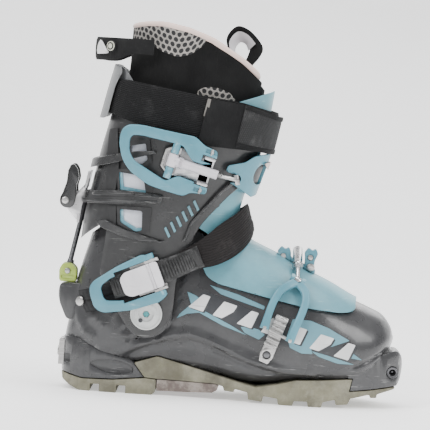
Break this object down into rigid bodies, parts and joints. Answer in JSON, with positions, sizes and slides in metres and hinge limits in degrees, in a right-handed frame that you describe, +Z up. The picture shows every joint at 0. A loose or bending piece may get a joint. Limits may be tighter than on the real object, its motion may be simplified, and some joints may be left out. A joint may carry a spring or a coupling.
{
  "type": "alpine touring boot",
  "caption": "Hinged touring ski boot: stiff lower shell and tilting cuff with a rear walk lever, buckle levers, straps, padded liner and lugged sole.",
  "frame": {"origin": "on the ground under the middle of the closed boot's box", "axes": "+X forward to the toe, +Y to the inner side of this right boot, +Z up; the buckles are on -Y"},
  "size_m": [0.3092, 0.132, 0.3257],
  "materials": {
    "shell": "satin graphite injection-moulded plastic",
    "blue_plastic": "satin light blue plastic",
    "sole_rubber": "worn khaki rubber",
    "arch": "matt brown-grey plastic",
    "black_plastic": "satin black plastic",
    "liner": "black laminated foam fabric with a grey honeycomb print",
    "binding": "pale rose brushed binding",
    "strap": "charcoal ribbed webbing",
    "steel": "brushed stainless steel",
    "alloy": "satin aluminium",
    "lime": "satin lime green plastic",
    "smoke": "satin smoke grey plastic",
    "window": "pale grey-blue plastic",
    "board": "matt dark grey plastic"
  },
  "bodies": {
    "lower": {"heel_outsole": "sole_rubber", "forefoot_outsole": "sole_rubber", "arch_insert": "arch", "lower_shell": "shell", "toe_pin_insert": "steel", "heel_pin_insert": "steel", "heel_insert_screw": "alloy", "boot_board": "board", "liner_foot": "liner", "footbed": "liner", "liner_ankle": "liner", "tongue_foot": "blue_plastic", "tongue_bellows": "blue_plastic", "toe_rack": "alloy", "toe_rack_rivet": "steel", "toe_yoke": "blue_plastic", "toe_yoke_rivet": "steel", "instep_strap": "strap", "instep_strap_rivet": "steel", "ladder_strap": "black_plastic", "ratchet_base": "alloy", "ratchet_pin": "steel", "instep_anchor_strap": "black_plastic", "instep_anchor_screw": "steel", "lock_anchor": "lime", "lock_anchor_pin": "steel", "pivot_sleeve_outer": "alloy", "pivot_sleeve_inner": "alloy", "pivot_screw_outer": "steel", "pivot_screw_inner": "steel"},
    "cuff": {"cuff_shell": "shell", "window_panel_outer": "window", "window_panel_inner": "window", "rear_spoiler": "smoke", "tongue_shin": "blue_plastic", "liner_shaft": "liner", "liner_binding": "binding", "liner_tongue": "liner", "rear_pull_loop": "strap", "rear_loop_badge": "lime", "front_pull_loop": "strap", "power_strap": "strap", "power_strap_patch": "strap", "cuff_catch": "blue_plastic", "cuff_buckle_base": "alloy", "cuff_buckle_rivet": "steel", "lever_bracket": "alloy", "lever_pin": "steel"},
    "lock_bar": {"lock_bar": "steel"},
    "walk_lever": {"walk_lever": "black_plastic"},
    "cuff_lever": {"cuff_lever": "blue_plastic", "cuff_link_pin": "steel"},
    "cuff_link": {"cuff_barrel": "alloy", "cuff_hook": "steel"},
    "toe_lever": {"toe_lever": "blue_plastic", "toe_lever_pin": "steel"},
    "toe_link": {"toe_link": "alloy"},
    "ratchet_lever": {"ratchet_lever": "blue_plastic"},
    "ratchet_pawl": {"ratchet_pawl": "alloy"}
  },
  "joints": [
    {"name": "cuff_tilt", "type": "hinge", "parent": "lower", "child": "cuff", "pos_m": [-0.0714, 0.0049, 0.072], "axis": [0, 1, 0], "range_deg": [-11, 6], "deforming": ["liner_ankle", "tongue_bellows"]},
    {"name": "lock_bar_swing", "type": "hinge", "parent": "lower", "child": "lock_bar", "pos_m": [-0.1444, 0.0049, 0.102], "axis": [0, 1, 0], "range_deg": [-16, 9]},
    {"name": "walk_lever_tilt", "type": "hinge", "parent": "cuff", "child": "walk_lever", "pos_m": [-0.1497, 0.0049, 0.1641], "axis": [0, -1, 0], "range_deg": [0, 75]},
    {"name": "cuff_buckle_open", "type": "hinge", "parent": "cuff", "child": "cuff_lever", "pos_m": [-0.0269, -0.0575, 0.1985], "axis": [0.2569, 0, 0.9665], "range_deg": [0, 110]},
    {"name": "cuff_link_turn", "type": "hinge", "parent": "cuff_lever", "child": "cuff_link", "pos_m": [-0.05688, -0.0575, 0.20647], "axis": [0.2569, 0, 0.9665], "range_deg": [-110, 0]},
    {"name": "toe_buckle_open", "type": "hinge", "parent": "lower", "child": "toe_lever", "pos_m": [0.043, -0.05315, 0.0625], "axis": [0.9148, 0, -0.4039], "range_deg": [0, 56]},
    {"name": "toe_link_turn", "type": "hinge", "parent": "toe_lever", "child": "toe_link", "pos_m": [0.0571, -0.03304, 0.108], "axis": [0.9148, 0, -0.4039], "range_deg": [-56, 0]},
    {"name": "ratchet_lever_open", "type": "hinge", "parent": "lower", "child": "ratchet_lever", "pos_m": [-0.0644, -0.0616, 0.1077], "axis": [-0.3998, 0, 0.9166], "range_deg": [0, 100]},
    {"name": "ratchet_pawl_release", "type": "hinge", "parent": "lower", "child": "ratchet_pawl", "pos_m": [-0.0644, -0.0616, 0.1077], "axis": [-0.3998, 0, 0.9166], "range_deg": [0, 14], "stiffness_Nm_per_rad": 0.3}
  ],
  "couplings": [
    {"joint": "lock_bar_swing", "follows": "cuff_tilt", "ratio": 1.45},
    {"joint": "cuff_link_turn", "follows": "cuff_buckle_open", "ratio": -1},
    {"joint": "toe_link_turn", "follows": "toe_buckle_open", "ratio": -1}
  ]
}
